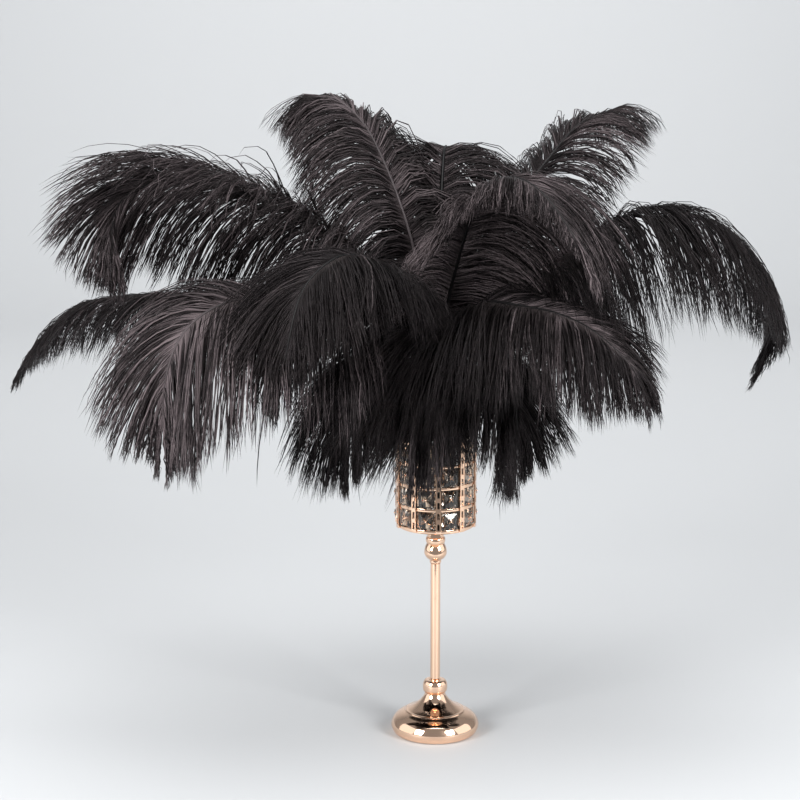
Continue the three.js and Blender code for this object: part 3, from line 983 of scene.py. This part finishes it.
def smooth_route(points, per_span=40):
    """A centripetal Catmull-Rom curve through the points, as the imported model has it."""
    points = np.array(points, float)
    ends = np.vstack([2 * points[0] - points[1], points, 2 * points[-1] - points[-2]])
    gaps = [max(np.linalg.norm(gap), 1e-9) ** 0.5 for gap in np.diff(ends, axis=0)]
    route = [points[0]]
    for i in range(len(points) - 1):
        p0, p1, p2, p3 = ends[i : i + 4]
        d0, d1, d2 = gaps[i : i + 3]
        out = ((p1 - p0) / d0 - (p2 - p0) / (d0 + d1) + (p2 - p1) / d1) * d1
        into = ((p2 - p1) / d1 - (p3 - p1) / (d1 + d2) + (p3 - p2) / d2) * d1
        for k in range(1, per_span + 1):
            u = k / per_span
            route.append(
                p1 + out * u + (3 * (p2 - p1) - 2 * out - into) * u**2
                + (2 * (p1 - p2) + out + into) * u**3
            )
    return np.array(route)


class Shaft:
    """A plume's shaft: its route and its three directions, by the share of its length."""

    def __init__(self, plume):
        turn, spot = math.radians(plume["turn"]), math.radians(plume["spot"])
        outward = np.array([math.cos(turn), math.sin(turn), 0])
        sideways = np.array([-math.sin(turn), math.cos(turn), 0])
        in_cup = np.array([math.cos(spot), math.sin(spot), 0])
        foot, rim = plume["ring"]
        points = [foot * in_cup + [0, 0, QUILL_FOOT], rim * in_cup + [0, 0, RIM_HEIGHT]]
        for i, (reach, height) in enumerate(plume["arch"]):
            swept = plume["sweep"] * ((i + 1) / len(plume["arch"])) ** 2
            points.append(reach * outward + swept * sideways + [0, 0, height])
        route = smooth_route(points)
        length = np.concatenate([[0], np.cumsum(np.linalg.norm(np.diff(route, axis=0), axis=1))])
        self.length = length[-1]
        self.shares = np.linspace(0, 1, 400)
        self.route = np.stack(
            [np.interp(self.shares * length[-1], length, route[:, k]) for k in range(3)], axis=1
        )
        along = unit(np.gradient(self.route, axis=0))
        across = unit(sideways - along * (along @ sideways)[:, None])
        upper = np.cross(along, across)
        vane = np.clip(up_the_vane(self.shares), 0, 1)
        roll = np.radians(plume["roll"] + plume["twist"] * vane)[:, None]
        self.along = along
        self.across = across * np.cos(roll) + upper * np.sin(roll)
        self.upper = upper * np.cos(roll) - across * np.sin(roll)

    def at(self, t):
        """(centre, along, across, upper) at each share in t."""
        return tuple(
            np.stack([np.interp(t, self.shares, track[:, k]) for k in range(3)], axis=1)
            for track in (self.route, self.along, self.across, self.upper)
        )


def clump_starts(rng, count, low, high):
    """First members of neighbouring groups of low to high barbs."""
    sizes = rng.integers(low, high + 1, count)
    starts = np.concatenate([[0], np.cumsum(sizes)])
    return starts[starts < count]


def disorder(rng, small, count, *shape):
    """Random numbers for each barb: those of its small clump, and its own."""
    group = np.searchsorted(small, np.arange(count), side="right") - 1
    return rng.normal(0, 1, (len(small), *shape))[group], rng.normal(0, 1, (count, *shape))


def upset(value, noise, of_clump, own):
    """A value with the clump's and the barb's own disorder added."""
    return value + noise[0] * of_clump + noise[1] * own


def drawn_together(paths, starts, pull, rise):
    """Barbs' paths drawn towards their group's mean path, more towards the tips."""
    count, steps, _ = paths.shape
    group = np.searchsorted(starts, np.arange(count), side="right") - 1
    sizes = np.diff(np.append(starts, count))
    mean = np.add.reduceat(paths, starts, axis=0) / sizes[:, None, None]
    share = np.linspace(0, 1, steps) ** rise
    return paths + (mean[group] - paths) * (pull[group][:, None] * share[None, :])[:, :, None]


def clear_of_cup(paths):
    """Barbs' points near the cup's rim moved outside its wall, or up onto its opening."""
    outside, inside, top = POST_RADIUS + POST_THICK + 0.0015, 0.033, TOP_RING_HIGH.z + 0.002
    radius = np.hypot(paths[..., 0], paths[..., 1])
    low = paths[..., 2] < top
    beside = low & (radius >= inside) & (radius < outside)
    paths[..., :2] *= np.where(beside, outside / np.maximum(radius, 1e-6), 1)[..., None]
    above = low & (radius < inside)
    paths[..., 2] = np.where(above, top, paths[..., 2])
    return paths


def barb_starts(plume, vane, side, along, across, upper, of_clump, own):
    """The directions in which barbs leave the shaft."""
    angle = (ROOT_ANGLE + (TIP_ANGLE - ROOT_ANGLE) * vane**2.5) * plume["splay"]
    angle = upset(angle, ANGLE_NOISE, of_clump[:, 0], own[:, 0])
    lift = upset(LIFT, LIFT_NOISE, of_clump[:, 1], own[:, 1])
    return (
        side * across * (np.sin(angle) * np.cos(lift))[:, None]
        + upper * (np.sin(angle) * np.sin(lift))[:, None]
        + along * np.cos(angle)[:, None]
    )


def barb_lengths(plume, t, vane, side, of_clump, own):
    """Short at the vane's start, then full, and shorter again towards the tip."""
    full = plume["full"]
    grown = SHORTEST_BARB + (1 - SHORTEST_BARB) * ease((t - VANE_STARTS) / (full - VANE_STARTS))
    taper = 1 + (plume["tip"] - 1) * ease((vane - plume["taper"]) / (1 - plume["taper"]))
    spread = np.clip(upset(1, LENGTH_NOISE, of_clump[:, 2], own[:, 2]), 0.5, 1.12)
    at_start, at_tip = plume["sides"][side + 1 : side + 3]
    of_side = at_start + (at_tip - at_start) * ease(vane * 2)
    return plume["barb"] * grown * taper * spread * of_side


def bent_paths(here, start, pulled, hooks, length, steps):
    """Barbs grown step by step, each turned more by its weight and, near its tip, by its hook."""
    paths = [here]
    for k in range(steps):
        reached = (k + 0.5) / steps
        ahead = unit(start + pulled * reached + hooks * reached**3)
        here = here + ahead * (length / steps)[:, None]
        paths.append(here)
    return np.stack(paths, axis=1)


def ruffled(paths, plume, small, settings, rng):
    """Barbs drawn together in small and large clumps, then each with its own wander and kinks."""
    count, points, _ = paths.shape
    share = np.linspace(0, 1, points)
    pull = np.clip(rng.normal(settings.clumping, 0.2, len(small)), 0, 0.95)
    paths = drawn_together(paths, small, pull, SMALL_RISE)
    large = clump_starts(rng, count, *LARGE_CLUMP)
    bunching = np.clip(rng.normal(plume["bunch"], 0.1, len(large)), 0, 0.6)
    paths = drawn_together(paths, large, bunching, LARGE_RISE)
    waves = np.sin(share * rng.uniform(4, 9, (count, 1)) + rng.uniform(0, 6.3, (count, 1)))
    wander = unit(rng.normal(0, 1, (count, 3))) * WANDER
    paths = paths + wander[:, None, :] * (waves * share)[:, :, None]
    return paths + rng.normal(0, 1, paths.shape) * (KINKS * share**0.7)[:, None]


def one_side(plume, shaft, side, count, steps, settings, rng):
    """One side's barbs: paths from the shaft to the tips, where they face, paleness and width."""
    t = VANE_STARTS + (1 - VANE_STARTS) * (np.arange(count) + rng.uniform(0.1, 0.9, count)) / count
    vane = up_the_vane(t)
    centre, along, across, upper = shaft.at(t)
    small = clump_starts(rng, count, *SMALL_CLUMP)
    of_clump, own = disorder(rng, small, count, 3)
    start = barb_starts(plume, vane, side, along, across, upper, of_clump, own)
    length = barb_lengths(plume, t, vane, side, of_clump, own)
    weight = np.clip(upset(1, WEIGHT_NOISE, *disorder(rng, small, count)), 0.5, 1.6)
    side_droop = np.broadcast_to(plume["droop"], 2)[(side + 1) // 2]
    droop = settings.droop * side_droop * weight

    stray = rng.random(count) < STRAY_SHARE
    start = unit(start + stray[:, None] * rng.normal(0, 0.1, (count, 3)))
    length = length * np.where(stray, 1.1, 1)
    loose = rng.integers(0, count, plume["loose"])
    length[loose] *= LOOSE_EXTRA
    droop[loose] *= LOOSE_EXTRA

    turn = math.radians(plume["turn"])
    pull_in = np.array([-math.cos(turn), -math.sin(turn), 0]) * plume["curl"]
    pulled = pull_in * vane[:, None] ** 4 - [0, 0, 1] * droop[:, None]
    hooks = upset(0, HOOK_NOISE, *disorder(rng, small, count, 3))
    radius = (settings.quill_radius * (1 - 0.7 * vane))[:, None]
    # The barbs leave the shaft a little below its sides, so that its ridge shows above them.
    roots = centre + side * across * radius * 0.85 - upper * radius * 0.4
    paths = bent_paths(roots, start, pulled, hooks, length, steps)
    paths = clear_of_cup(ruffled(paths, plume, small, settings, rng))

    facing = unit(np.cross(along, start) * side)
    tone = upset(0.5, TONE_NOISE, *disorder(rng, small, count))
    # Each barb's tone differs at random; the plume's paleness along the vane is partly its own dye
    # and partly painted shade and painted light.
    dye_and_shade_start, dye_and_shade_tip = plume["pale"]
    tone = np.clip(tone * (dye_and_shade_start + (dye_and_shade_tip - dye_and_shade_start) * ease(vane * 1.6)), 0.02, 1.6)
    width = settings.barb_width * rng.uniform(0.45, 1.3, count)
    return paths, facing, tone, width


def tapered_strands(paths, facing, width, depth):
    """Closed three-sided strands along paths, as arrays: their corners, their triangles, how far
    along its strand each corner is, and how many corners a strand has."""
    count, rings, _ = paths.shape
    ahead = unit(np.gradient(paths, axis=1))
    out = facing[:, None, :] - ahead * (ahead * facing[:, None, :]).sum(-1, keepdims=True)
    out = unit(out + 1e-9)
    flat = np.cross(ahead, out)
    share = np.linspace(0, 1, rings)
    wide = (width[:, None, None] / 2) * (1 - 0.6 * share**1.6)[None, :, None]
    deep = depth * (1 - 0.5 * share)
    body = rings - 1
    back = out * deep[None, :, None]
    corners = np.stack([paths + flat * wide, paths + back, paths - flat * wide], axis=2)
    corners = corners[:, :body].reshape(count, body * 3, 3)
    corners = np.concatenate([corners, paths[:, -1:, :]], axis=1)
    faces = []
    for ring in range(body - 1):
        for k in range(3):
            a, b = ring * 3 + k, ring * 3 + (k + 1) % 3
            faces += [(a, a + 3, b), (b, a + 3, b + 3)]
    last, tip = (body - 1) * 3, body * 3
    faces += [(last + k, tip, last + (k + 1) % 3) for k in range(3)]
    faces.append((0, 1, 2))
    per = body * 3 + 1
    faces = np.array(faces)[None, :, :] + (np.arange(count) * per)[:, None, None]
    strand = np.concatenate([np.repeat(share[:body], 3), [1.0]])
    return corners.reshape(-1, 3), faces.reshape(-1, 3), np.tile(strand, count), per


def barb_mesh(name, corners, faces, strand_uv):
    """One joined mesh of all of a plume's barbs, with its strand UV map."""
    mesh = bpy.data.meshes.new(name)
    mesh.vertices.add(len(corners))
    mesh.vertices.foreach_set("co", corners.astype(np.float32).ravel())
    mesh.loops.add(faces.size)
    mesh.loops.foreach_set("vertex_index", faces.astype(np.int32).ravel())
    mesh.polygons.add(len(faces))
    mesh.polygons.foreach_set("loop_start", np.arange(0, faces.size, 3, dtype=np.int32))
    mesh.polygons.foreach_set("use_smooth", np.ones(len(faces), bool))
    mesh.update(calc_edges=True)
    layer = mesh.uv_layers.new(name="Strand")
    layer.data.foreach_set("uv", strand_uv[faces.ravel()].astype(np.float32).ravel())
    return mesh


def shaft_piece(name, shaft, tone, settings):
    """The quill and shaft: a bevelled curve, thick at the foot and fine at the tip, made a mesh."""
    curve = bpy.data.curves.new(name, "CURVE")
    curve.dimensions = "3D"
    curve.bevel_depth = 1
    curve.bevel_resolution = 3
    curve.use_fill_caps = True
    spline = curve.splines.new("POLY")
    stops = np.linspace(0, 1, 60)
    spline.points.add(len(stops) - 1)
    vane = np.clip(up_the_vane(stops), 0, 1)
    radius = settings.quill_radius * (1 - 0.82 * vane**0.8)
    radius[0] *= 0.45
    for point, place, r in zip(spline.points, shaft.at(stops)[0], radius):
        point.co = (*place, 1)
        point.radius = float(r)
    piece = bpy.data.objects.new(name, curve)
    bpy.context.scene.collection.objects.link(piece)
    select_only(piece)
    bpy.ops.object.convert(target="MESH")
    piece = bpy.context.object
    layer = piece.data.uv_layers.get("UVMap") or piece.data.uv_layers.new(name="Strand")
    layer.name = "Strand"
    layer.data.foreach_set("uv", np.full(2 * len(piece.data.loops), tone, np.float32))
    return finish_piece(piece, shaft_material(), 50)


def strand_triangles(steps):
    """How many triangles tapered_strands gives a strand of so many steps."""
    return 6 * steps - 2


def add_plume(node, plume, settings, number):
    """One plume: its shaft, and the barbs of both sides joined to it."""
    rng = np.random.default_rng(settings.seed * 100 + number)
    shaft = Shaft(plume)
    steps = max(LEAST_STEPS, round(plume["barb"] / settings.barb_step))
    full_triangles = settings.barbs * plume["share"] / 2 * strand_triangles(FULL_STEPS)
    count = int(full_triangles / strand_triangles(steps))
    corners, faces, uvs = [], [], []
    base = 0
    for side in (-1, 1):
        paths, facing, tone, width = one_side(plume, shaft, side, count, steps, settings, rng)
        points, triangles, along, per = tapered_strands(paths, facing, width, settings.barb_depth)
        corners.append(points)
        faces.append(triangles + base)
        # A painted highlight at the barbs' roots by the shaft, or darker roots where the value is
        # below 1, fading along each barb.
        painted_root_fade = np.clip(1 - along / ROOT_PAINT_SHARE, 0, 1)
        roots = 1 + (plume["roots"] - 1) * painted_root_fade
        uvs.append(np.stack([along, np.repeat(tone, per) * roots], axis=1))
        base += len(points)
    mesh = barb_mesh(node + "_barbs", np.vstack(corners), np.vstack(faces), np.vstack(uvs))
    barbs = bpy.data.objects.new(node + "_barbs", mesh)
    bpy.context.scene.collection.objects.link(barbs)
    mesh.materials.append(barb_material())
    # The shaft's tone is its dark dyed horn, raised to a painted highlight or lowered to painted
    # shade on some plumes.
    piece = shaft_piece(node.replace("plume_", "feather_"), shaft, plume["shaft"], settings)
    stand_for(joined([piece, barbs]), "plume", node)


class PLUMES_OT_plumes(bpy.types.Operator):
    """Add every plume: shaft, barbs and their droop"""

    bl_idname = "plumes.plumes"
    bl_label = "Plumes"

    def execute(self, context):
        for number, (node, own) in enumerate(PLUMES.items()):
            add_plume(node, {**PLAIN_PLUME, **own}, context.scene.plumes, number)
        return {"FINISHED"}


# ---- The stage ----


def soft_box(name, place, target, size, power):
    """A rectangular area light that faces a target."""
    light = bpy.data.lights.new(name, "AREA")
    light.shape = "RECTANGLE"
    light.size, light.size_y = size
    light.energy = power
    lamp = bpy.data.objects.new(name, light)
    lamp.location = place
    lamp.rotation_euler = (Vector(target) - Vector(place)).to_track_quat("-Z", "Y").to_euler()
    bpy.context.scene.collection.objects.link(lamp)


def paper_floor():
    """A sheet of pale paper that curves up into a wall behind the stand."""
    half_width, front, back, wall_height, curve = 4, -0.6, 4.0, 4, 1.5
    start_fresh()
    bpy.ops.mesh.primitive_plane_add(size=2, location=(0, (front + back) / 2, 0))
    floor = bpy.context.object
    floor.name = "floor"
    floor.scale = (half_width, (back - front) / 2, 1)
    bpy.ops.object.transform_apply(location=True, rotation=False, scale=True)
    bpy.ops.object.mode_set(mode="EDIT")
    bpy.ops.mesh.select_all(action="DESELECT")
    bpy.ops.object.mode_set(mode="OBJECT")
    for edge in floor.data.edges:
        edge.select = min(floor.data.vertices[v].co.y for v in edge.vertices) > back - 0.1
    bpy.ops.object.mode_set(mode="EDIT")
    bpy.ops.mesh.select_mode(type="EDGE")
    bpy.ops.mesh.extrude_region_move(TRANSFORM_OT_translate={"value": (0, 0, wall_height)})
    bpy.ops.object.mode_set(mode="OBJECT")
    ease_edges(floor, width=curve, segments=16)
    apply_modifiers(floor)
    bpy.ops.object.shade_smooth()
    floor.data.materials.append(floor_material())


class PLUMES_OT_stage(bpy.types.Operator):
    """Add the camera, the soft boxes, the room's light and the pale floor"""

    bl_idname = "plumes.stage"
    bl_label = "Stage"

    def execute(self, context):
        stage = context.scene.stage
        camera = bpy.data.objects.new("Camera", bpy.data.cameras.new("Camera"))
        camera.data.lens = stage.lens
        camera.data.sensor_width = 36
        camera.location = stage.camera_place
        camera.rotation_euler = (math.pi / 2 - stage.look_down, 0, 0)
        context.scene.collection.objects.link(camera)
        context.scene.camera = camera
        middle, wall = (0, 0, 0.4), (0, 4, 0.8)
        for name, place, target, size, power in (
            ("Left soft box", (-1.7, -1.7, 1.2), middle, (0.9, 1.3), stage.key_power),
            ("Right soft box", (1.6, -1.8, 1.2), middle, (0.9, 1.3), stage.key_power),
            ("Left panel", (-2.8, -0.3, 1.2), middle, (2.6, 2.2), stage.panel_power),
            ("Right panel", (2.8, -0.3, 1.2), middle, (2.6, 2.2), stage.panel_power),
            ("Overhead", (0, -0.2, 2.4), middle, (1.8, 1.8), stage.top_power),
            ("Backdrop light", (0, 1.6, 2.2), wall, (3.0, 0.6), stage.back_power),
        ):
            soft_box(name, place, target, size, power)
        paper_floor()
        world = bpy.data.worlds.new("Room")
        context.scene.world = world
        world.use_nodes = True
        background = world.node_tree.nodes["Background"]
        set_inputs(background, {"Color": (0.93, 0.96, 1, 1), "Strength": stage.room})
        context.scene.view_settings.view_transform = "Standard"
        return {"FINISHED"}


class PLUMES_PT_panel(bpy.types.Panel):
    """Lists the sizes and the steps"""

    bl_idname = "PLUMES_PT_panel"
    bl_label = "Plume bouquet"
    bl_space_type = "VIEW_3D"
    bl_region_type = "UI"
    bl_category = "Plumes"

    def draw(self, context):
        for title, settings in GROUPS.items():
            box = self.layout.box()
            box.label(text=title.capitalize())
            for name in settings.__annotations__:
                box.prop(getattr(context.scene, title), name)
        for step in STEPS:
            self.layout.operator(step.bl_idname)


GROUPS = {
    "stand": StandSettings, "cup": CupSettings, "plumes": PlumeSettings, "stage": StageSettings,
}
STEPS = (
    PLUMES_OT_stage, PLUMES_OT_foot, PLUMES_OT_stem, PLUMES_OT_knop, PLUMES_OT_cup_floor,
    PLUMES_OT_rings, PLUMES_OT_posts, PLUMES_OT_crystals, PLUMES_OT_pins, PLUMES_OT_plumes,
)


def register():
    for cls in (*GROUPS.values(), *STEPS, PLUMES_PT_panel):
        bpy.utils.register_class(cls)
    for name, group in GROUPS.items():
        setattr(bpy.types.Scene, name, PointerProperty(type=group))


def unregister():
    for name in GROUPS:
        delattr(bpy.types.Scene, name)
    for cls in reversed((*GROUPS.values(), *STEPS, PLUMES_PT_panel)):
        bpy.utils.unregister_class(cls)


def main():
    register()
    for step in STEPS:
        family, operator = step.bl_idname.split(".")
        getattr(getattr(bpy.ops, family), operator)()


if __name__ == "__main__":
    main()
